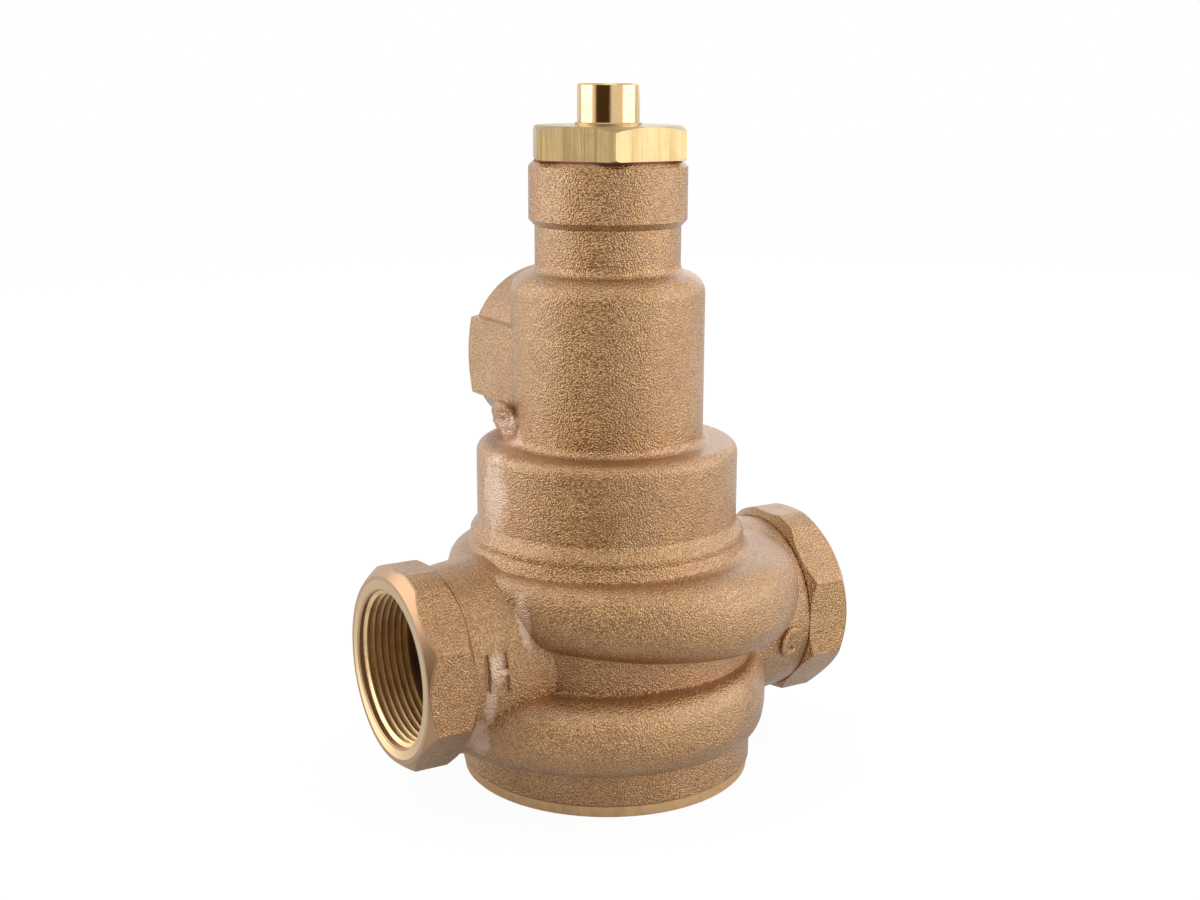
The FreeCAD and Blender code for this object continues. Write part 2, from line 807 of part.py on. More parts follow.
def make_wax_capsule():
    """The wax cup of the element: a bulb in the mixed flow, a crimped rim above and a stud below."""
    return turned_body("wax_capsule", [
        ("0", "stud_low"),
        ("stud_radius", "stud_low"),
        ("stud_radius", "hub_top"),
        ("capsule_radius", "hub_top"),
        ("capsule_radius", "capsule_shoulder"),
        ("crimp_radius", "capsule_shoulder + 1"),
        ("crimp_radius", "crimp_top"),
        ("crimp_radius - 1.5", "crimp_top"),
        ("crimp_radius - 1.5", "guide_seat"),
        ("0", "guide_seat"),
    ])


def make_element_guide():
    """The element's guide tube, which the pin slides in."""
    return turned_body("element_guide", [
        ("pin_radius + running_gap", "guide_seat"),
        ("crimp_radius - 1.7", "guide_seat"),
        ("crimp_radius - 1.7", "guide_stem_low"),
        ("guide_stem_radius", "guide_stem_low"),
        ("guide_stem_radius", "guide_stem_top - 1"),
        ("guide_stem_radius - 1", "guide_stem_top"),
        ("pin_radius + running_gap", "guide_stem_top"),
    ])


def make_element_pin():
    """The hard steel pin that the wax drives out, bevelled at both ends."""
    return turned_body("element_pin", [
        ("0", "pin_low"),
        ("pin_radius - 0.5", "pin_low"),
        ("pin_radius", "pin_low + 0.5"),
        ("pin_radius", "pin_top - 0.5"),
        ("pin_radius - 0.5", "pin_top"),
        ("0", "pin_top"),
    ])


def make_element_nut():
    """The hexagon nut under the shuttle's hub."""
    nut = new_body("element_nut")
    flats = polygon(nut, "element_nut_flats", "XY_Plane", 6, "nut_across", 0)
    offset_sketch(flats, "nut_low")
    pad(nut, flats, "arm_low - nut_low")
    bore = circle(nut, "element_nut_bore", "XY_Plane", "0", "0", "stud_radius + 0.1")
    offset_sketch(bore, "nut_low")
    pocket(nut, bore, "arm_low - nut_low", True)
    return nut


def make_mixing_sleeve():
    """The slotted sleeve round the element, which stirs the two flows together."""
    sleeve = turned_body("mixing_sleeve", [
        ("sleeve_inner", "chamber_floor"),
        ("sleeve_flange", "chamber_floor"),
        ("sleeve_flange", "chamber_floor + 2"),
        ("sleeve_outer", "chamber_floor + 2"),
        ("sleeve_outer", "sleeve_top"),
        ("sleeve_inner", "sleeve_top"),
    ])
    slot = outline(sleeve, "slot_outline", "XY_Plane", [
        ("sleeve_inner - 2", "0 - slot_half"),
        ("sleeve_outer + 2", "0 - slot_half"),
        ("sleeve_outer + 2", "slot_half"),
        ("sleeve_inner - 2", "slot_half"),
    ])
    offset_sketch(slot, "chamber_floor + 6")
    repeat_round(sleeve, pocket(sleeve, slot, "slot_height", True), 6)
    return sleeve


def make_lift_nut():
    """The nut that the stem raises and lowers: keyed at the top, with a spring chamber below."""
    nut = turned_body("lift_nut", [
        ("lift_chamber", "lift_low"),
        ("lift_radius", "lift_low"),
        ("lift_radius", "lift_top"),
        ("lead_radius + running_gap", "lift_top"),
        ("lead_radius + running_gap", "lift_chamber_top"),
        ("lift_chamber", "lift_chamber_top"),
        ("lift_chamber", "plunger_low"),
        ("ring_groove_radius", "plunger_low"),
        ("ring_groove_radius", "ring_groove_low"),
        ("lift_chamber", "ring_groove_low"),
    ])
    key = outline(nut, "key_outline", "XY_Plane", [
        ("lift_radius - 1", "0 - key_half"),
        ("key_reach", "0 - key_half"),
        ("key_reach", "key_half"),
        ("lift_radius - 1", "key_half"),
    ])
    offset_sketch(key, "key_low")
    repeat_round(nut, pad(nut, key, "lift_top - key_low"), 2)
    return nut


def make_overload_plunger():
    """The cap that the pin pushes on, held down on its ring by the overload spring."""
    return turned_body("overload_plunger", [
        ("0", "pin_top"),
        ("pin_radius + 0.3", "pin_top"),
        ("pin_radius + 0.3", "plunger_low"),
        ("lift_chamber - 0.15", "plunger_low"),
        ("lift_chamber - 0.15", "plunger_top"),
        ("stud_radius", "plunger_top"),
        ("stud_radius", "plunger_top + 8"),
        ("stud_radius - 1", "plunger_top + 9"),
        ("0", "plunger_top + 9"),
    ])


def make_retaining_ring():
    """The open spring ring that keeps the plunger in the lift nut."""
    ring = make_ring("retaining_ring", "guide_stem_radius + 0.8", "ring_groove_radius - 0.1",
                     "ring_groove_low", "plunger_low")
    gap = outline(ring, "ring_gap_outline", "XY_Plane", [
        ("guide_stem_radius", "0 - ring_gap_half"),
        ("ring_groove_radius + 1", "0 - ring_gap_half"),
        ("ring_groove_radius + 1", "ring_gap_half"),
        ("guide_stem_radius", "ring_gap_half"),
    ])
    offset_sketch(gap, "ring_groove_low - 1")
    pocket(ring, gap, "plunger_low - ring_groove_low + 2", True)
    return ring


def make_adjusting_stem():
    """The polished stem: a key socket on top, two seal grooves, a thrust flange and the lead screw."""
    stem = turned_body("adjusting_stem", [
        ("0", "lead_low"),
        ("lead_radius - 1", "lead_low"),
        ("lead_radius", "lead_low + 1"),
        ("lead_radius", "stem_flange_low"),
        ("stem_flange", "stem_flange_low"),
        ("stem_flange", "stem_flange_top"),
        ("stem_radius", "stem_flange_top"),
        ("stem_radius", "lower_groove"),
        ("stem_groove", "lower_groove"),
        ("stem_groove", "lower_groove + groove_width"),
        ("stem_radius", "lower_groove + groove_width"),
        ("stem_radius", "upper_groove"),
        ("stem_groove", "upper_groove"),
        ("stem_groove", "upper_groove + groove_width"),
        ("stem_radius", "upper_groove + groove_width"),
        ("stem_radius", "stem_top - 0.5"),
        ("stem_radius - 0.5", "stem_top"),
        ("0", "stem_top"),
    ])
    socket = polygon(stem, "key_socket", "XY_Plane", 6, "socket_across", 0)
    offset_sketch(socket, "stem_top")
    pocket(stem, socket, "socket_depth")
    return stem


def make_bonnet_nut():
    """The hexagon that closes the collar: a threaded shank, a keyed skirt and a bore for the stem."""
    rim = turned_body("bonnet_rim", [
        ("0", "hex_low"),
        ("hex_corner - 0.8", "hex_low"),
        ("hex_corner", "hex_low + 0.5"),
        ("hex_corner", "hex_top - 1.6"),
        ("hex_face", "hex_top"),
        ("lip_radius", "hex_top"),
        ("lip_radius", "lip_top - 0.3"),
        ("lip_radius - 0.3", "lip_top"),
        ("0", "lip_top"),
    ])
    flats = new_body("bonnet_flats")
    hexagon = polygon(flats, "bonnet_hexagon", "XY_Plane", 6, "hex_across", SIZES["hex_turn"])
    offset_sketch(hexagon, "hex_low")
    pad(flats, hexagon, "lip_top - hex_low")
    head = combine("MultiCommon", "bonnet_head", [rim, flats])
    shank = turned_body("bonnet_shank", [
        ("0", "skirt_low"),
        ("skirt_radius", "skirt_low"),
        ("skirt_radius", "bonnet_bore_low + 0.5"),
        ("bonnet_shank", "bonnet_bore_low + 0.5"),
        ("bonnet_shank", "hex_low"),
        ("0", "hex_low"),
    ])
    bore = turned_body("bonnet_bored", [
        ("0", "skirt_low - 1"),
        ("skirt_bore", "skirt_low - 1"),
        ("skirt_bore", "bearing_face"),
        ("stem_radius + running_gap", "bearing_face"),
        ("stem_radius + running_gap", "lip_top + 1"),
        ("0", "lip_top + 1"),
    ])
    slot = outline(bore, "key_slot_outline", "XY_Plane", [
        ("0 - key_reach - 0.3", "0 - key_half - 0.2"),
        ("key_reach + 0.3", "0 - key_half - 0.2"),
        ("key_reach + 0.3", "key_half + 0.2"),
        ("0 - key_reach - 0.3", "key_half + 0.2"),
    ])
    offset_sketch(slot, "skirt_low - 1")
    pad(bore, slot, "stem_flange_low - skirt_low + 1")
    return combine("Cut", "bonnet_nut", [combine("MultiFuse", "bonnet_solid", [head, shank]), bore])


def make_parts():
    """Every sub-part, in the order in which the valve goes together."""
    return [
        make_valve_body(),
        make_cold_seat(),
        make_shuttle_guide(),
        make_oring("shuttle_seal", "guide_bore + 1.29", 1.2, "guide_top - 4.9"),
        make_mixing_sleeve(),
        make_shuttle(),
        make_wax_capsule(),
        make_element_guide(),
        make_element_nut(),
        make_element_pin(),
        make_spring("return_spring", 16.5, 1.3, "pocket_floor", "arm_low", 6),
        make_base_plug(),
        make_hot_seat(),
        make_oring("base_seal", "shank_radius + 1.5", 1.25, "flange_height + 1.25"),
        make_adjusting_stem(),
        make_oring("upper_stem_seal", "stem_groove + 1.25", 1.2, "upper_groove + 1.3"),
        make_oring("lower_stem_seal", "stem_groove + 1.25", 1.2, "lower_groove + 1.3"),
        make_ring("thrust_washer", "stem_radius + 0.15", "stem_flange", "stem_flange_top", "bearing_face"),
        make_lift_nut(),
        make_spring("overload_spring", 7.3, 0.9, "plunger_top", "lift_chamber_top", 8),
        make_overload_plunger(),
        make_retaining_ring(),
        make_bonnet_nut(),
        make_ring("bonnet_gasket", "bonnet_bore + 0.2", "neck_radius", "collar_top", "hex_low"),
    ]


def check(parts):
    """Stops if anything in the document failed or any sub-part isn't one sound solid."""
    for thing in DOCUMENT.Objects:
        if "Invalid" in thing.State or "Error" in thing.State:
            raise RuntimeError(thing.Name + " failed")
    for part in parts:
        if part.Shape.isNull() or not part.Shape.isValid() or len(part.Shape.Solids) != 1:
            raise RuntimeError(part.Label + " isn't one valid solid")


def export(parts):
    """Writes one STEP file for each sub-part."""
    os.makedirs("parts", exist_ok=True)
    for part in parts:
        part.Shape.exportStep("parts/%s.step" % part.Label)
        print("%s: %.1f cm3" % (part.Label, part.Shape.Volume / 1000))


fill_sheet()
PARTS = make_parts()
check(PARTS)
export(PARTS)
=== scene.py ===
import math
import bmesh
import bpy
from mathutils import Matrix, Quaternion, Vector
from mathutils.noise import noise as noise_at


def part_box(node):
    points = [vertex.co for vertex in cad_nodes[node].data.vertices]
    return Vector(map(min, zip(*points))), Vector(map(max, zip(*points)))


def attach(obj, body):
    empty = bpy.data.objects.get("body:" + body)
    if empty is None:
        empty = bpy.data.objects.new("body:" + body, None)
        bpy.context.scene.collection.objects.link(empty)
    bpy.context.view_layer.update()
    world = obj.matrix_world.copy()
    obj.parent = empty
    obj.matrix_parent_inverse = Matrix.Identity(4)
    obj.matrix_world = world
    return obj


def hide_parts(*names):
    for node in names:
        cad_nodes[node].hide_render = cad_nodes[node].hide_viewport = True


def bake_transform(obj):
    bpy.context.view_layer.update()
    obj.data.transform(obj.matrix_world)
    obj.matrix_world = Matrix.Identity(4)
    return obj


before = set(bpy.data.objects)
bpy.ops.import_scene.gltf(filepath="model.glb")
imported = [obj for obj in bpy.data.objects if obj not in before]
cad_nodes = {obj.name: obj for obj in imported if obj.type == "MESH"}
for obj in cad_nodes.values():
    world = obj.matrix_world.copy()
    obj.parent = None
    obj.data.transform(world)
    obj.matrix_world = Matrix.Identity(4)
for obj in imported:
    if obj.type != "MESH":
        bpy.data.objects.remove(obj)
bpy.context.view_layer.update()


# ------------------------------------------------------------------ the casting
# The body is one sand casting in bronze. Its skin is the print of the sand, blotched by the
# heat, and bright only where it was turned: port faces, bores, base and the seat of the nut.

def put(tree, kind, feeds=None, **settings):
    """Adds a shader node. Feeds are its sockets by name, each a plain value or another output."""
    node = tree.nodes.new("ShaderNode" + kind)
    for name, value in settings.items():
        setattr(node, name, value)
    for name, value in (feeds or {}).items():
        join(tree, value, node.inputs[name])
    return node


def join(tree, value, socket):
    """Sets a socket to a plain value, or links another node's output to it."""
    if isinstance(value, bpy.types.NodeSocket):
        tree.links.new(value, socket)
    else:
        socket.default_value = value


def reckon(tree, operation, *values):
    """The result of a Math node."""
    node = put(tree, "Math", operation=operation)
    for socket, value in zip(node.inputs, values):
        join(tree, value, socket)
    return node.outputs[0]


def times(tree, first, second):
    """One number times another, which for two masks is where both of them hold."""
    return reckon(tree, "MULTIPLY", first, second)


def either(tree, first, second):
    """Where either of two masks holds."""
    return reckon(tree, "MAXIMUM", first, second)


def rise(tree, value, low, high):
    """A soft step: 0 at low and 1 at high, or the other way round where high is the smaller."""
    feeds = {"Value": value, "From Min": low, "From Max": high}
    return put(tree, "MapRange", feeds, interpolation_type="SMOOTHSTEP").outputs["Result"]


def span(tree, value, low, high):
    """Turns a mask of 0 to 1 into a number from low to high."""
    feeds = {"Value": value, "To Min": low, "To Max": high}
    return put(tree, "MapRange", feeds).outputs["Result"]


def mix(tree, share, first, second):
    """Lays the second colour over the first by a share from 0 to 1."""
    node = put(tree, "Mix", data_type="RGBA")
    for number, value in ((0, share), (6, first), (7, second)):
        join(tree, value, node.inputs[number])
    return node.outputs[2]


def mix_value(tree, share, first, second):
    """Goes from the first number to the second by a share from 0 to 1."""
    node = put(tree, "Mix", data_type="FLOAT")
    for number, value in ((0, share), (2, first), (3, second)):
        join(tree, value, node.inputs[number])
    return node.outputs[0]


def noise(tree, place, scale, detail=2.0, roughness=0.5, distortion=0.0):
    """The strength of a noise pattern; its scale is in lumps to the metre."""
    feeds = {"Vector": place, "Scale": scale, "Detail": detail,
             "Roughness": roughness, "Distortion": distortion}
    return put(tree, "TexNoise", feeds).outputs[0]


def colour(red, green, blue):
    """A colour given as it looks on a screen, made linear for the shader."""
    return [((part + 0.055) / 1.055) ** 2.4 for part in (red, green, blue)] + [1.0]


def new_group(name, inputs, outputs):
    """An empty node group with named sockets, each given as a name and Float, Vector or Color."""
    group = bpy.data.node_groups.new(name, "ShaderNodeTree")
    for direction, sockets in (("INPUT", inputs), ("OUTPUT", outputs)):
        for socket, kind in sockets:
            group.interface.new_socket(socket, in_out=direction, socket_type="NodeSocket" + kind)
    given = group.nodes.new("NodeGroupInput").outputs
    result = group.nodes.new("NodeGroupOutput").inputs
    return group, given, result


def use_group(tree, group, **feeds):
    """Places a shared node group in a material and gives back its outputs."""
    node = tree.nodes.new("ShaderNodeGroup")
    node.node_tree = group
    for name, value in feeds.items():
        join(tree, value, node.inputs[name])
    return node.outputs


def new_material(name, metallic=1.0):
    """A new material, with its node tree, its shader and the Object coordinates that it reads."""
    material = bpy.data.materials.new(name)
    material.use_nodes = True
    tree = material.node_tree
    shader = tree.nodes["Principled BSDF"]
    shader.inputs["Metallic"].default_value = metallic
    return material, tree, shader, tree.nodes.new("ShaderNodeTexCoord").outputs["Object"]


def raise_grain(tree, shader, height, distance):
    """Feeds a height through a Bump node to the shader; the distance is its depth in metres."""
    bump = put(tree, "Bump", {"Height": height, "Distance": distance})
    tree.links.new(bump.outputs["Normal"], shader.inputs["Normal"])


def lay_film(shader, weight, dullness):
    """A thin film of oil and oxide over the metal, which pales its highlights and its edges."""
    shader.inputs["Coat Weight"].default_value = weight
    shader.inputs["Coat Roughness"].default_value = dullness
    shader.inputs["Coat IOR"].default_value = 1.6


def make_sand_skin():
    """The print of moulding sand: grains about half a millimetre across, finer grit, slow lumps."""
    group, given, result = new_group(
        "sand_skin", [("Place", "Vector")],
        [("Height", "Float"), ("Speckle", "Float"), ("Blotch", "Float")])
    place = given["Place"]
    cells = put(group, "TexVoronoi", {"Vector": place, "Scale": 1850.0, "Smoothness": 0.4},
                feature="SMOOTH_F1")
    grains = reckon(group, "SUBTRACT", 1.0, cells.outputs["Distance"])
    grit = noise(group, place, 2600.0, 3.0, 0.7)
    lumps = noise(group, place, 230.0, 2.0, 0.5, 0.3)
    coarse = reckon(group, "MULTIPLY_ADD", lumps, 0.6, times(group, grains, 0.9))
    group.links.new(reckon(group, "MULTIPLY_ADD", grit, 0.4, coarse), result["Height"])
    worn = reckon(group, "MULTIPLY_ADD", grit, 0.7, times(group, grains, 0.5))
    group.links.new(rise(group, worn, 0.42, 0.86), result["Speckle"])
    blotch = noise(group, place, 42.0, 4.0, 0.6, 0.8)
    group.links.new(rise(group, blotch, 0.3, 0.7), result["Blotch"])
    return group


def make_turned_skin():
    """Fine grooves left by a lathe tool, about the Z axis of the coordinates that it is given."""
    group, given, result = new_group(
        "turned_skin", [("Place", "Vector"), ("Grooves", "Float")],
        [("Height", "Float"), ("Radius", "Float"), ("Smudge", "Float")])
    place = given["Place"]
    parts = put(group, "SeparateXYZ", {"Vector": place}).outputs
    flat = put(group, "CombineXYZ", {"X": parts["X"], "Y": parts["Y"]}).outputs[0]
    radius = put(group, "VectorMath", {0: flat}, operation="LENGTH").outputs["Value"]
    feed = times(group, reckon(group, "ADD", parts["Z"], radius), given["Grooves"])
    feed = put(group, "CombineXYZ", {"X": feed}).outputs[0]
    drift = put(group, "VectorMath", {0: place, "Scale": 9.0}, operation="SCALE").outputs[0]
    groove = put(group, "VectorMath", {0: drift, 1: feed}).outputs[0]
    group.links.new(noise(group, groove, 1.0, 2.0, 0.65), result["Height"])
    group.links.new(radius, result["Radius"])
    smudge = noise(group, place, 130.0, 3.0, 0.6, 1.2)
    group.links.new(rise(group, smudge, 0.35, 0.7), result["Smudge"])
    return group


# Sizes in metres. The ports' axes stand above the base, and their faces off the valve's axis.
# The skin goes from cast to turned over an edge of a fraction of a millimetre.
PORT_HEIGHT, OUTLET_HEIGHT = 0.0444, 0.131
INLET_FACE, OUTLET_FACE = 0.076, 0.0395
INLET_TAPPED, OUTLET_TAPPED = 0.0185, 0.0142
BORE_RADIUS = 0.025
MOUTH_RADIUS, MOUTH_RIM, MOUTH_DEPTH = 0.0246, 0.0271, 0.0010
CORNER_RADIUS, CORNER_DEPTH = 0.0280, 0.0055
COLLAR_RADIUS = 0.0338
LEDGE_HEIGHT = 0.1075
BASE_FACE, TOP_FACE = 0.0042, 0.1932
RELIEF = 0.00038
EDGE, SOFT_EDGE = 0.0002, 0.0005

sand_skin = make_sand_skin()
turned_skin = make_turned_skin()


def turned_port(tree, place, above, turn, height, reach, tapped, bore_end, both_ends, lowest):
    """Masks of what was turned on one axis of ports: the faces, blunt corners and bores that are
    bright, the far part of each bore behind the thread, which takes painted shade, the mouths'
    chamfers, and a painted highlight laid over those chamfers."""
    about = put(tree, "VectorMath", {0: place, 1: (0, 0, height)}, operation="SUBTRACT").outputs[0]
    about = put(tree, "Mapping", {"Vector": about, "Rotation": turn}).outputs[0]
    skin = use_group(tree, turned_skin, Place=about, Grooves=3200.0)
    radius = skin["Radius"]
    far = put(tree, "SeparateXYZ", {"Vector": about}).outputs["Z"]
    far = reckon(tree, "ABSOLUTE", far) if both_ends else far
    collar = times(tree, rise(tree, radius, COLLAR_RADIUS + 0.0007, COLLAR_RADIUS),
                   rise(tree, above, lowest, lowest + 1.5 * EDGE))
    face = rise(tree, far, reach - 2 * EDGE, reach - EDGE)
    corner = reach + CORNER_RADIUS
    cone = rise(tree, reckon(tree, "ADD", far, radius), corner, corner + 1.5 * EDGE)
    cone_end = reach - CORNER_DEPTH
    cone = times(tree, cone, rise(tree, far, cone_end - SOFT_EDGE, cone_end))
    bore = times(tree, rise(tree, radius, BORE_RADIUS + EDGE / 2, BORE_RADIUS - EDGE / 2),
                 rise(tree, far, bore_end - SOFT_EDGE, bore_end))
    bright = either(tree, times(tree, either(tree, face, cone), collar), bore)
    thread_end = reach - tapped
    # Where painted shade goes: the bore beyond the thread's end.
    shaded_depth = times(tree, bore, rise(tree, far, thread_end + 0.003, thread_end - 0.001))
    face = times(tree, face, collar)
    chamfer = {"Value": radius, "From Min": MOUTH_RADIUS, "From Max": MOUTH_RIM,
               "To Min": -MOUTH_DEPTH / RELIEF, "To Max": 0.0}
    mouth = times(tree, put(tree, "MapRange", chamfer).outputs["Result"], face)
    # The face inside the chamfer's rim gets a painted highlight: brighter gold, as a lit chamfer
    # would show.
    painted_chamfer_highlight = times(tree, face, rise(tree, radius, MOUTH_RIM + EDGE, MOUTH_RIM))
    return {"bright": bright, "shaded_depth": shaded_depth, "lines": skin["Height"], "mouth": mouth, "painted_chamfer_highlight": painted_chamfer_highlight}


# Where the flash was filed off: centre, half sizes and lean, in metres and radians.
DRESSED = [
    ((-0.0541, -0.0300, 0.0500), (0.0028, 0.0060, 0.0060), (0, 0.10, 0)),
    ((-0.0562, -0.0290, 0.0390), (0.0021, 0.0060, 0.0080), (0, 0.38, 0)),
    ((-0.0585, -0.0250, 0.0270), (0.0032, 0.0080, 0.0075), (0, 0.45, 0)),
    ((-0.0440, -0.0250, 0.0602), (0.0019, 0.0060, 0.0098), (0, -0.68, 0)),
    ((-0.0372, -0.0015, 0.0950), (0.0080, 0.0085, 0.0150), (0, 0, 0)),
    ((-0.0290, 0.0070, 0.1100), (0.0070, 0.0080, 0.0090), (0, 0, 0)),
]


def file_smears(tree, place):
    """The mask of all filed places, each an ellipsoid with a ragged edge."""
    ragged = noise(tree, place, 420.0, 5.0, 0.75)
    smears = 0.0
    for centre, half_sizes, lean in DRESSED:
        at = put(tree, "VectorMath", {0: place, 1: centre}, operation="SUBTRACT").outputs[0]
        shrink = [1.0 / half for half in half_sizes]
        at = put(tree, "Mapping", {"Vector": at, "Rotation": lean, "Scale": shrink}).outputs[0]
        off = put(tree, "VectorMath", {0: at}, operation="LENGTH").outputs["Value"]
        smear = rise(tree, reckon(tree, "MULTIPLY_ADD", ragged, 1.7, off), 1.95, 1.45)
        smears = either(tree, smears, smear)
    return smears


def make_cast_bronze():
    """The casting's bronze: sand skin, turned places and the smears where flash was filed off."""
    material, tree, shader, place = new_material("cast_bronze")
    skin = use_group(tree, sand_skin, Place=place)
    ground = mix(tree, skin["Blotch"], colour(0.815, 0.64, 0.455), colour(0.865, 0.70, 0.51))
    warm = rise(tree, noise(tree, place, 75.0, 3.0, 0.6), 0.45, 0.75)
    ground = mix(tree, times(tree, warm, 0.6), ground, colour(0.845, 0.66, 0.51))
    mottle = rise(tree, noise(tree, place, 330.0, 3.0, 0.6, 0.5), 0.35, 0.7)
    ground = mix(tree, times(tree, mottle, 0.28), ground, colour(0.66, 0.48, 0.31))
    ground = mix(tree, span(tree, skin["Speckle"], 0.70, 0.0), ground, colour(0.52, 0.355, 0.19))
    smears = file_smears(tree, place)
    ground = mix(tree, times(tree, smears, 0.8), ground, colour(0.86, 0.745, 0.655))
    dull = reckon(tree, "MULTIPLY_ADD", smears, 0.14, span(tree, skin["Speckle"], 0.34, 0.24))
    height = times(tree, skin["Height"], span(tree, smears, 1.0, 0.8))

    above = put(tree, "SeparateXYZ", {"Vector": place}).outputs["Z"]
    inlets = turned_port(tree, place, above, turn=(0, math.pi / 2, 0), height=PORT_HEIGHT,
                         reach=INLET_FACE, tapped=INLET_TAPPED, bore_end=0.050,
                         both_ends=True, lowest=0.0)
    outlet = turned_port(tree, place, above, turn=(math.pi / 2, 0, 0), height=OUTLET_HEIGHT,
                         reach=OUTLET_FACE, tapped=OUTLET_TAPPED, bore_end=0.020,
                         both_ends=False, lowest=LEDGE_HEIGHT)
    lines = mix_value(tree, outlet["bright"], inlets["lines"], outlet["lines"])
    ends = either(tree, rise(tree, above, BASE_FACE + EDGE / 2, BASE_FACE),
                  rise(tree, above, TOP_FACE - EDGE / 2, TOP_FACE))
    bright = either(tree, either(tree, inlets["bright"], outlet["bright"]), ends)
    turned = mix(tree, lines, colour(0.70, 0.54, 0.395), colour(0.76, 0.605, 0.455))
    # Painted highlight: the mouths' chamfer bands are laid over in a brighter gold.
    painted_chamfer_highlight = either(tree, inlets["painted_chamfer_highlight"], outlet["painted_chamfer_highlight"])
    turned = mix(tree, painted_chamfer_highlight, turned, colour(0.87, 0.75, 0.56))
    # Painted shade: the bores darken to near black behind their threads.
    painted_bore_shade = times(tree, either(tree, inlets["shaded_depth"], outlet["shaded_depth"]), 0.85)
    turned = mix(tree, painted_bore_shade, turned, colour(0.26, 0.21, 0.15))

    tree.links.new(mix(tree, bright, ground, turned), shader.inputs["Base Color"])
    dull = mix_value(tree, bright, dull, span(tree, lines, 0.34, 0.46))
    tree.links.new(dull, shader.inputs["Roughness"])
    height = mix_value(tree, bright, height, times(tree, lines, 0.06))
    mouths = reckon(tree, "ADD", inlets["mouth"], outlet["mouth"])
    raise_grain(tree, shader, reckon(tree, "ADD", height, mouths), RELIEF)
    lay_film(shader, 0.55, 0.32)
    return material


def dress_node(name, material):
    """Gives a CAD node its finished material."""
    slots = cad_nodes[name].data.materials
    slots.clear()
    slots.append(material)


cast_bronze = make_cast_bronze()
dress_node("valve_body", cast_bronze)


# ------------------------------------------------------------------ the port threads
# Each port is tapped with a taper pipe thread, cut after casting. The thread is one helical
# ridge that starts in the chamfered mouth and runs out at the bottom of its bore.

THREAD_PITCH = 0.00221
THREAD_ROOT, THREAD_CREST = 0.0243, 0.0229
THREAD_TAPER = 1 / 32.0
THREAD_START, THREAD_LEAD_IN = 0.0011, 0.0012
TURNS_RUN_OUT = 0.6
STEPS_TO_A_TURN = 72


def finish_mesh(name, bm, material, body="casting", smooth=40.0):
    """Makes a finished piece of a bmesh, with its material, and lets it ride its body, if any."""
    mesh = bpy.data.meshes.new(name)
    bmesh.ops.recalc_face_normals(bm, faces=bm.faces)
    bm.to_mesh(mesh)
    bm.free()
    mesh.materials.append(material)
    piece = bpy.data.objects.new(name, mesh)
    bpy.context.scene.collection.objects.link(piece)
    mesh.shade_smooth()
    mesh.set_sharp_from_angle(angle=math.radians(smooth))
    if body:
        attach(piece, body)
    return piece


def make_cut_bronze():
    """Bright bronze as the tap left it, with faint stains."""
    material, tree, shader, place = new_material("cut_bronze")
    stain = noise(tree, place, 150.0, 3.0, 0.6)
    stained = rise(tree, stain, 0.35, 0.7)
    shade = mix(tree, stained, colour(0.97, 0.87, 0.68), colour(0.90, 0.77, 0.57))
    tree.links.new(shade, shader.inputs["Base Color"])
    tree.links.new(span(tree, stain, 0.34, 0.5), shader.inputs["Roughness"])
    raise_grain(tree, shader, noise(tree, place, 2600.0, 2.0), 0.00003)
    return material


def thread(name, reach, depth, placing):
    """A helical ridge about X, from the mouth at reach inward, then put in its port. Its crest
    follows the taper of the thread, and the mouth's chamfer takes it down at the outer end."""
    bm = bmesh.new()
    half, flat = THREAD_PITCH * 0.47, THREAD_PITCH * 0.07
    turns = (depth - THREAD_LEAD_IN) / THREAD_PITCH - TURNS_RUN_OUT
    outer = reach - THREAD_START - half
    corners = [(half, THREAD_ROOT), (flat, THREAD_CREST),
               (-flat, THREAD_CREST), (-half, THREAD_ROOT)]
    ring = [bm.verts.new((outer + along, 0.0, radius)) for along, radius in corners]
    rim = bm.faces.new(ring)
    steps = int(turns * STEPS_TO_A_TURN)
    bmesh.ops.spin(bm, geom=[rim, *rim.edges, *rim.verts], cent=(0, 0, 0), axis=(1, 0, 0),
                   dvec=(-THREAD_PITCH * turns / steps, 0, 0),
                   angle=2 * math.pi * turns, steps=steps)
    bmesh.ops.holes_fill(bm, edges=[edge for edge in bm.edges if edge.is_boundary], sides=4)
    crest_side, chamfer_top = THREAD_ROOT - 0.0003, THREAD_ROOT - 0.0002
    chamfer_start, chamfer_slope = 0.0006, 1.1
    for vert in bm.verts:
        radius = math.hypot(vert.co.y, vert.co.z)
        if radius < crest_side:
            inward = reach - vert.co.x
            mouth = chamfer_top - max(0.0, inward - chamfer_start) * chamfer_slope
            wanted = max(radius - inward * THREAD_TAPER, mouth)
            vert.co.y *= wanted / radius
            vert.co.z *= wanted / radius
    bmesh.ops.transform(bm, matrix=placing, verts=bm.verts)
    return finish_mesh(name, bm, cut_bronze, smooth=30.0)


cut_bronze = make_cut_bronze()
raised = Matrix.Translation((0, 0, PORT_HEIGHT))
thread("cold_port_thread", INLET_FACE, INLET_TAPPED, raised)
thread("hot_port_thread", INLET_FACE, INLET_TAPPED, raised @ Matrix.Rotation(math.pi, 4, "Z"))
thread("outlet_port_thread", OUTLET_FACE, OUTLET_TAPPED,
       Matrix.Translation((0, 0, OUTLET_HEIGHT)) @ Matrix.Rotation(math.pi / 2, 4, "Z"))


# ------------------------------------------------------------------ the feeder's stub
# Under the outlet boss a torn web of metal runs down to the ledge, where a feeder of the mould
# was broken off and only roughly ground. It is one with the casting.

STUB_CENTRE = (-0.0270, 0.0100, 0.1102)
STUB_HALF_SIZES = (0.0034, 0.0085, 0.0118)
STUB_LEAN = math.radians(-30)
STUB_LUMPS = ((150.0, 0.0010), (700.0, 0.0004))     # lumps to the metre, and their height


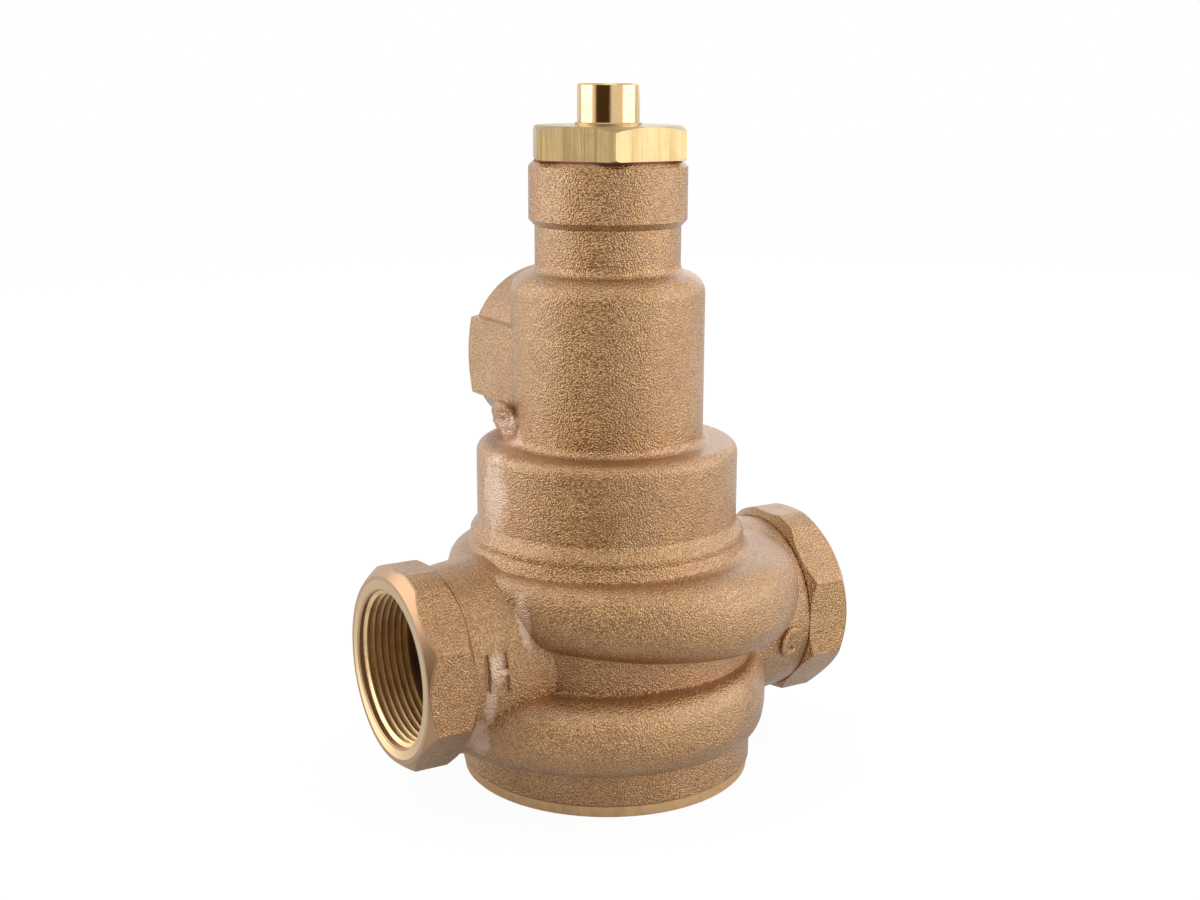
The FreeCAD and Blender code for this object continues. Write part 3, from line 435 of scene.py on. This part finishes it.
def make_stub():
    """A web between the boss and the ledge: a ball drawn out, then made ragged by slow noise."""
    bm = bmesh.new()
    bmesh.ops.create_icosphere(bm, subdivisions=5, radius=1.0)
    drawn_out = Matrix.Diagonal((*STUB_HALF_SIZES, 1.0))
    place = Matrix.Translation(STUB_CENTRE) @ Matrix.Rotation(STUB_LEAN, 4, "Y") @ drawn_out
    bmesh.ops.transform(bm, matrix=place, verts=bm.verts)
    bm.normal_update()
    shifts = [vert.normal * sum(noise_at(vert.co * scale) * height for scale, height in STUB_LUMPS)
              for vert in bm.verts]
    for vert, shift in zip(bm.verts, shifts):
        vert.co += shift
    return finish_mesh("feeder_stub", bm, cast_bronze, smooth=60.0)


make_stub()


# ------------------------------------------------------------------ the hot and cold marks
# A plain H and C stand in low relief on the necks of the inlets, cast with the body from
# letters laid in the pattern, so their edges are soft and they carry the same sand skin.

MARK_HEIGHT, MARK_SUNK = 0.0013, 0.0006
STROKE = 0.0021
NECK_START, NECK_LENGTH = 0.0445, 0.0185
NECK_RADIUS, NECK_TAPER = 0.0306, 0.0023
NECK_AT_MARK = 0.0295


def neck_radius(x):
    """The radius of an inlet's neck at a place along its axis."""
    return NECK_RADIUS - (abs(x) - NECK_START) * NECK_TAPER / NECK_LENGTH


def wrap_on_neck(bm, x, angle):
    """Bends a flat relief, drawn in X and Y with its height in Z, onto the neck of an inlet."""
    for vert in bm.verts:
        across, along, height = vert.co
        radius = neck_radius(x + across) + height
        turn = angle + along / NECK_AT_MARK
        vert.co = (x + across, -radius * math.cos(turn), PORT_HEIGHT + radius * math.sin(turn))


def raise_relief(bm, faces):
    """Lifts a flat outline into a relief with rounded edges, sunk a little into the casting."""
    lifted = bmesh.ops.extrude_face_region(bm, geom=faces)["geom"]
    top = [part for part in lifted if isinstance(part, bmesh.types.BMVert)]
    bmesh.ops.translate(bm, verts=top, vec=(0, 0, MARK_HEIGHT + MARK_SUNK))
    bmesh.ops.translate(bm, verts=bm.verts, vec=(0, 0, -MARK_SUNK))
    rims = [edge for edge in bm.edges
            if all(vert.co.z > 0 for vert in edge.verts) and edge.calc_face_angle(0) > 1]
    bmesh.ops.bevel(bm, geom=rims, offset=0.0005, segments=3, profile=0.5,
                    affect="EDGES", material=-1)


def letter_h(x, angle, width, height):
    """The H: a grid of nine cells with the middle ones above and below the bar taken out."""
    bm = bmesh.new()
    bmesh.ops.create_grid(bm, x_segments=3, y_segments=3, size=1.5)
    columns = {-1.5: -width / 2, -0.5: STROKE - width / 2, 0.5: width / 2 - STROKE, 1.5: width / 2}
    rows = {-1.5: -height / 2, -0.5: -STROKE / 2, 0.5: STROKE / 2, 1.5: height / 2}
    gaps = [face for face in bm.faces if abs(face.calc_center_median().x) < 0.1
            and abs(face.calc_center_median().y) > 0.5]
    bmesh.ops.delete(bm, geom=gaps, context="FACES")
    for vert in bm.verts:
        vert.co = (columns[round(vert.co.x, 1)], rows[round(vert.co.y, 1)], 0)
    raise_relief(bm, bm.faces[:])
    wrap_on_neck(bm, x, angle)
    return finish_mesh("hot_mark", bm, cast_bronze, smooth=60.0)


def letter_c(x, angle, width, height):
    """The C: a flat stroke swept most of the way round an oval."""
    opening, sweep = math.radians(48), math.radians(264)
    bm = bmesh.new()
    bmesh.ops.create_grid(bm, x_segments=1, y_segments=1, size=STROKE / 2)
    for vert in bm.verts:
        vert.co.x, vert.co.y = vert.co.x + width / 2 - STROKE / 2, 0.0
    bmesh.ops.remove_doubles(bm, verts=bm.verts, dist=1e-5)
    bmesh.ops.rotate(bm, verts=bm.verts, matrix=Matrix.Rotation(opening, 3, "Z"))
    bmesh.ops.spin(bm, geom=bm.verts[:] + bm.edges[:], axis=(0, 0, 1), angle=sweep, steps=24)
    for vert in bm.verts:
        vert.co.y *= height / width
    empty = [face for face in bm.faces if face.calc_area() < 1e-9]
    bmesh.ops.delete(bm, geom=empty, context="FACES")
    bmesh.ops.recalc_face_normals(bm, faces=bm.faces)
    raise_relief(bm, bm.faces[:])
    wrap_on_neck(bm, x, angle)
    return finish_mesh("cold_mark", bm, cast_bronze, smooth=60.0)


letter_h(x=-0.0530, angle=math.radians(8.5), width=0.0078, height=0.0115)
letter_c(x=0.0523, angle=math.radians(-9.8), width=0.0088, height=0.0105)


# ------------------------------------------------------------------ the seats and the guide
# Two turned rings and a flanged bush are pressed into the casting from below. They are of the
# same bronze, bright all over, and the shuttle slides in the bush and closes on the rings.

def make_turned_metal(name, light, dark, dullness, grooves=3000.0, depth=0.00002):
    """Metal turned on a lathe about the valve's axis, with tool grooves and darker smudges."""
    material, tree, shader, place = new_material(name)
    skin = use_group(tree, turned_skin, Place=place, Grooves=grooves)
    shade = mix(tree, skin["Height"], colour(*dark), colour(*light))
    smudged = colour(*[part * 0.82 for part in dark])
    shade = mix(tree, times(tree, skin["Smudge"], 0.45), shade, smudged)
    tree.links.new(shade, shader.inputs["Base Color"])
    dull = span(tree, skin["Height"], dullness, dullness + 0.1)
    dull = reckon(tree, "MULTIPLY_ADD", skin["Smudge"], 0.12, dull)
    tree.links.new(dull, shader.inputs["Roughness"])
    raise_grain(tree, shader, skin["Height"], depth)
    return material


turned_bronze = make_turned_metal("turned_bronze", (0.90, 0.73, 0.52), (0.80, 0.61, 0.40), 0.24)
for part in ("cold_seat", "shuttle_guide", "hot_seat"):
    dress_node(part, turned_bronze)


# ------------------------------------------------------------------ the seals
# Every joint that holds water has a moulded ring of black rubber, dusty with talc. The two on
# the stem run in its own grooves.

def make_rubber():
    """Moulded black rubber with a dusting of talc and a matt grain."""
    material, tree, shader, place = new_material("seal_rubber", 0.0)
    talc = rise(tree, noise(tree, place, 700.0, 4.0, 0.7), 0.5, 0.8)
    shade = mix(tree, times(tree, talc, 0.35), colour(0.09, 0.09, 0.10), colour(0.34, 0.34, 0.35))
    tree.links.new(shade, shader.inputs["Base Color"])
    tree.links.new(span(tree, talc, 0.45, 0.75), shader.inputs["Roughness"])
    raise_grain(tree, shader, noise(tree, place, 3000.0, 2.0), 0.00002)
    return material


seal_rubber = make_rubber()
for part in ("shuttle_seal", "base_seal", "upper_stem_seal", "lower_stem_seal"):
    dress_node(part, seal_rubber)


# ------------------------------------------------------------------ the shuttle and its sleeve
# The shuttle is a tube with a spoked hub, moulded in a slippery grey plastic. The sleeve above
# it leads the mixed water past the element and is moulded in the same.

def make_moulded_plastic():
    """Grey engineering plastic, faintly mottled by its filler, with a fine spark-eroded grain."""
    material, tree, shader, place = new_material("moulded_plastic", 0.0)
    filler = noise(tree, place, 420.0, 4.0, 0.65)
    shade = mix(tree, filler, colour(0.30, 0.31, 0.32), colour(0.42, 0.43, 0.43))
    tree.links.new(shade, shader.inputs["Base Color"])
    tree.links.new(span(tree, filler, 0.34, 0.52), shader.inputs["Roughness"])
    raise_grain(tree, shader, noise(tree, place, 3600.0, 2.0), 0.000025)
    return material


moulded_plastic = make_moulded_plastic()
for part in ("shuttle", "mixing_sleeve"):
    dress_node(part, moulded_plastic)


# ------------------------------------------------------------------ the wax element
# A brass capsule of wax, crimped on a guide stem, pushes out a steel pin as it warms. A small
# nut clamps it in the shuttle's hub.

turned_brass = make_turned_metal("turned_brass", (0.93, 0.80, 0.54), (0.84, 0.69, 0.42), 0.22)
turned_steel = make_turned_metal("turned_steel", (0.74, 0.75, 0.76), (0.62, 0.63, 0.65), 0.18)
for part in ("wax_capsule", "element_guide", "element_nut"):
    dress_node(part, turned_brass)
dress_node("element_pin", turned_steel)


# ------------------------------------------------------------------ the springs
# Two compression springs of round stainless wire, with closed ground ends: a wide one under the
# shuttle and a narrow stiff one inside the lift nut, which gives way when the element overruns.

WIRE_STEPS = 48             # to a turn
CLOSED_PITCH = 2.04         # a closed turn's rise, in wire radii
GROUND_OFF = 0.5            # what the grinding leaves below the wire's centre, in wire radii


def make_spring_steel():
    """Drawn spring wire: bright, faintly marked by the die, with a straw tint."""
    material, tree, shader, place = new_material("spring_wire")
    drawn = noise(tree, place, 1400.0, 3.0, 0.6, 0.4)
    shade = mix(tree, drawn, colour(0.60, 0.59, 0.56), colour(0.76, 0.75, 0.72))
    tree.links.new(shade, shader.inputs["Base Color"])
    tree.links.new(span(tree, drawn, 0.2, 0.38), shader.inputs["Roughness"])
    raise_grain(tree, shader, drawn, 0.00001)
    return material


def wind_spring(name, mean_radius, wire_radius, low, high, turns):
    """Winds round wire with closed and ground ends between the two heights given, and hides the
    plain spring part that it stands in for."""
    bm = bmesh.new()
    wire = bmesh.ops.create_circle(bm, cap_ends=True, segments=14, radius=wire_radius)["verts"]
    stand = Matrix.Translation((mean_radius, 0, low + wire_radius * GROUND_OFF))
    bmesh.ops.transform(bm, matrix=stand @ Matrix.Rotation(math.pi / 2, 4, "X"), verts=wire)
    closed = wire_radius * CLOSED_PITCH
    open_rise = (high - low - wire_radius) - 2 * closed
    last = bm.verts[:] + bm.edges[:] + bm.faces[:]
    for rounds, climb in ((1.0, closed), (turns - 2.0, open_rise), (1.0, closed)):
        steps = int(WIRE_STEPS * rounds)
        last = bmesh.ops.spin(bm, geom=last, axis=(0, 0, 1), dvec=(0, 0, climb / steps),
                              angle=2 * math.pi * rounds, steps=steps)["geom_last"]
    for height, side in ((low, -1), (high, 1)):
        bmesh.ops.bisect_plane(bm, geom=bm.verts[:] + bm.edges[:] + bm.faces[:],
                               plane_co=(0, 0, height), plane_no=(0, 0, side), clear_outer=True)
        bmesh.ops.holes_fill(bm, edges=[edge for edge in bm.edges if edge.is_boundary], sides=0)
    piece = finish_mesh(name + "_wire", bm, spring_wire, None)
    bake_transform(piece)
    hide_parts(name)


spring_wire = make_spring_steel()
low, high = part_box("return_spring")
wind_spring("return_spring", mean_radius=0.0165, wire_radius=0.0013,
            low=low.z, high=high.z, turns=6)
low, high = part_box("overload_spring")
wind_spring("overload_spring", mean_radius=0.0073, wire_radius=0.0009,
            low=low.z, high=high.z, turns=8)


# ------------------------------------------------------------------ the base plug
# A turned bronze plug closes the casting from below and carries the return spring and the hot
# seat. Only the rim of its flange shows, a thin bright ring under the rough body.

ring_bronze = make_turned_metal("ring_bronze", (0.96, 0.82, 0.64), (0.90, 0.74, 0.54), 0.30,
                                grooves=2200.0, depth=0.00003)
dress_node("base_plug", ring_bronze)


# ------------------------------------------------------------------ the lift nut and its plunger
# The stem's screw raises and lowers a brass sleeve nut, which is keyed in the neck. The
# overload spring in it bears on a steel plunger, held in by a snap ring.

dress_node("lift_nut", turned_brass)
for part in ("overload_plunger", "retaining_ring", "thrust_washer"):
    dress_node(part, turned_steel)


# ------------------------------------------------------------------ the adjusting stem
# The stem is polished brass, bright as a mirror above the nut, with only the finest turning
# lines and a little tarnish. Its top is broached with a hexagon for a key.

def make_polished_brass():
    """Polished brass with faint rings and a breath of tarnish."""
    material, tree, shader, place = new_material("mirror_brass")
    skin = use_group(tree, turned_skin, Place=place, Grooves=5200.0)
    tarnish = rise(tree, noise(tree, place, 210.0, 3.0, 0.6, 0.8), 0.4, 0.75)
    shade = mix(tree, skin["Height"], colour(0.90, 0.76, 0.56), colour(0.94, 0.81, 0.63))
    shade = mix(tree, times(tree, tarnish, 0.3), shade, colour(0.84, 0.66, 0.42))
    tree.links.new(shade, shader.inputs["Base Color"])
    tree.links.new(span(tree, tarnish, 0.10, 0.18), shader.inputs["Roughness"])
    raise_grain(tree, shader, skin["Height"], 0.000006)
    return material


mirror_brass = make_polished_brass()
dress_node("adjusting_stem", mirror_brass)


# ------------------------------------------------------------------ the bonnet nut and its gasket
# The nut is cut from drawn hexagon bar, so its flats keep the lines of the die, and its top is
# turned. It holds the stem in and presses a fibre gasket on the casting.

def make_drawn_brass():
    """Brass bar: lines of the drawing die up the flats, lathe rings on the turned top."""
    material, tree, shader, place = new_material("drawn_brass")
    parts = put(tree, "SeparateXYZ", {"Vector": place}).outputs
    upward = times(tree, parts["Z"], 0.02)
    across = put(tree, "CombineXYZ", {"X": parts["X"], "Y": parts["Y"], "Z": upward}).outputs[0]
    fine = noise(tree, across, 2600.0, 2.0, 0.7)
    broad = noise(tree, across, 420.0, 2.0, 0.6)
    drawn = reckon(tree, "MULTIPLY_ADD", broad, 0.8, times(tree, fine, 0.5))
    rings = use_group(tree, turned_skin, Place=place, Grooves=2400.0)
    facing = tree.nodes["Texture Coordinate"].outputs["Normal"]
    facing = put(tree, "SeparateXYZ", {"Vector": facing}).outputs["Z"]
    top = rise(tree, reckon(tree, "ABSOLUTE", facing), 0.25, 0.4)
    lines = mix_value(tree, top, drawn, rings["Height"])
    worn = rise(tree, lines, 0.35, 0.85)
    shade = mix(tree, worn, colour(0.66, 0.55, 0.33), colour(0.86, 0.745, 0.54))
    shade = mix(tree, times(tree, rings["Smudge"], 0.35), shade, colour(0.70, 0.57, 0.36))
    tree.links.new(shade, shader.inputs["Base Color"])
    tree.links.new(span(tree, lines, 0.34, 0.50), shader.inputs["Roughness"])
    lay_film(shader, 0.5, 0.30)
    raise_grain(tree, shader, lines, 0.00009)
    return material


def make_fibre():
    """Pressed red fibre with short pale strands in it."""
    material, tree, shader, place = new_material("pressed_fibre", 0.0)
    strands = noise(tree, place, 900.0, 4.0, 0.7, 2.5)
    shade = mix(tree, strands, colour(0.42, 0.17, 0.12), colour(0.62, 0.33, 0.24))
    tree.links.new(shade, shader.inputs["Base Color"])
    tree.links.new(span(tree, strands, 0.6, 0.85), shader.inputs["Roughness"])
    raise_grain(tree, shader, strands, 0.00005)
    return material


dress_node("bonnet_nut", make_drawn_brass())
dress_node("bonnet_gasket", make_fibre())


# ------------------------------------------------------------------ the studio
# The valve stands on a white table in a white room, with a tall soft box at each side and two
# fainter ones behind and above. Only the side of the room that the camera stands in is unlit,
# and the bright metal shows it as a dark stripe.

DARK_SIDE = math.radians(-141)
TABLE_RADIUS, TABLE_FRONT = 6.0, 0.16


def make_table():
    """A broad white table top that keeps a faint shadow and ends short of the room's dark side."""
    bm = bmesh.new()
    bmesh.ops.create_circle(bm, cap_ends=True, segments=64, radius=TABLE_RADIUS)
    front = Vector((math.cos(DARK_SIDE), math.sin(DARK_SIDE), 0.0))
    bmesh.ops.bisect_plane(bm, geom=bm.verts[:] + bm.edges[:] + bm.faces[:],
                           plane_co=front * TABLE_FRONT, plane_no=front, clear_outer=True)
    mesh = bpy.data.meshes.new("table")
    bm.to_mesh(mesh)
    bm.free()
    table = bpy.data.objects.new("table", mesh)
    bpy.context.scene.collection.objects.link(table)
    material, tree, shader, place = new_material("table_white", 0.0)
    paper = mix(tree, noise(tree, place, 3.0), colour(0.79, 0.79, 0.79), colour(0.81, 0.81, 0.81))
    tree.links.new(paper, shader.inputs["Base Color"])
    shader.inputs["Roughness"].default_value = 0.9
    white = put(tree, "Emission", {"Color": (1, 1, 1, 1), "Strength": 1.05})
    ray = put(tree, "LightPath").outputs
    mirrored = either(tree, ray["Is Glossy Ray"], ray["Is Transmission Ray"])
    seen = times(tree, ray["Is Camera Ray"], 0.90)
    seen = reckon(tree, "MULTIPLY_ADD", mirrored, 0.10, seen)
    blend = put(tree, "MixShader", {0: seen, 1: shader.outputs[0], 2: white.outputs[0]})
    tree.links.new(blend.outputs[0], tree.nodes["Material Output"].inputs["Surface"])
    mesh.materials.append(material)


def light_world():
    """A white room for the metal to show, with the warm dark of its unlit side."""
    world = bpy.data.worlds.new("white_room")
    world.use_nodes = True
    bpy.context.scene.world = world
    tree = world.node_tree
    way = tree.nodes.new("ShaderNodeTexCoord").outputs["Generated"]
    way = put(tree, "SeparateXYZ", {"Vector": way}).outputs
    bearing = reckon(tree, "ARCTAN2", way["Y"], way["X"])
    off = reckon(tree, "ABSOLUTE", reckon(tree, "SUBTRACT", bearing, DARK_SIDE))
    gap = rise(tree, off, math.radians(34), math.radians(22))
    gap = times(tree, gap, rise(tree, way["Z"], 0.70, 0.32))
    wall, ceiling, unlit = (0.90, 0.90, 0.90, 1), (0.75, 0.75, 0.75, 1), (0.06, 0.036, 0.012, 1)
    room = mix(tree, rise(tree, way["Z"], 0.30, 0.75), wall, ceiling)
    room = mix(tree, gap, room, unlit)
    ray = put(tree, "LightPath").outputs
    mirrored = either(tree, ray["Is Glossy Ray"], ray["Is Transmission Ray"])
    room = mix(tree, mirrored, ceiling, room)
    backdrop = mix(tree, ray["Is Camera Ray"], room, (1, 1, 1, 1))
    tree.links.new(backdrop, tree.nodes["Background"].inputs["Color"])


def soft_box(name, bearing, far, height, width, tall, power):
    """A soft box that faces the valve from one bearing, so far out and so high."""
    lamp = bpy.data.lights.new(name, "AREA")
    lamp.shape = "RECTANGLE"
    lamp.size, lamp.size_y, lamp.energy = width, tall, power
    box = bpy.data.objects.new(name, lamp)
    turn = math.radians(bearing)
    box.location = (far * math.cos(turn), far * math.sin(turn), height)
    box.rotation_euler = (Vector((0, 0, 0.1)) - box.location).to_track_quat("-Z", "Y").to_euler()
    bpy.context.scene.collection.objects.link(box)


def place_camera():
    """The camera stands level with the stem's top, off the hot port's side, and looks down."""
    lens = bpy.data.cameras.new("camera")
    lens.lens, lens.sensor_width = 48.68, 36.0
    camera = bpy.data.objects.new("camera", lens)
    camera.location = (-0.2564, -0.4278, 0.2176)
    aim = Vector((0.4975, 0.8383, -0.2231)).to_track_quat("-Z", "Y")
    camera.rotation_euler = (aim @ Quaternion((0, 0, 1), 0.0036)).to_euler()
    bpy.context.scene.collection.objects.link(camera)
    bpy.context.scene.camera = camera


make_table()
light_world()
soft_box("left_soft_box", bearing=150, far=1.1, height=0.45, width=1.2, tall=1.3, power=8.4)
soft_box("right_soft_box", bearing=322, far=1.1, height=0.45, width=1.25, tall=1.3, power=9.4)
soft_box("back_soft_box", bearing=40, far=1.3, height=0.7, width=1.1, tall=1.1, power=2.0)
soft_box("top_soft_box", bearing=245, far=0.3, height=1.3, width=1.1, tall=0.7, power=1.4)
place_camera()
bpy.context.scene.view_settings.view_transform = "Standard"
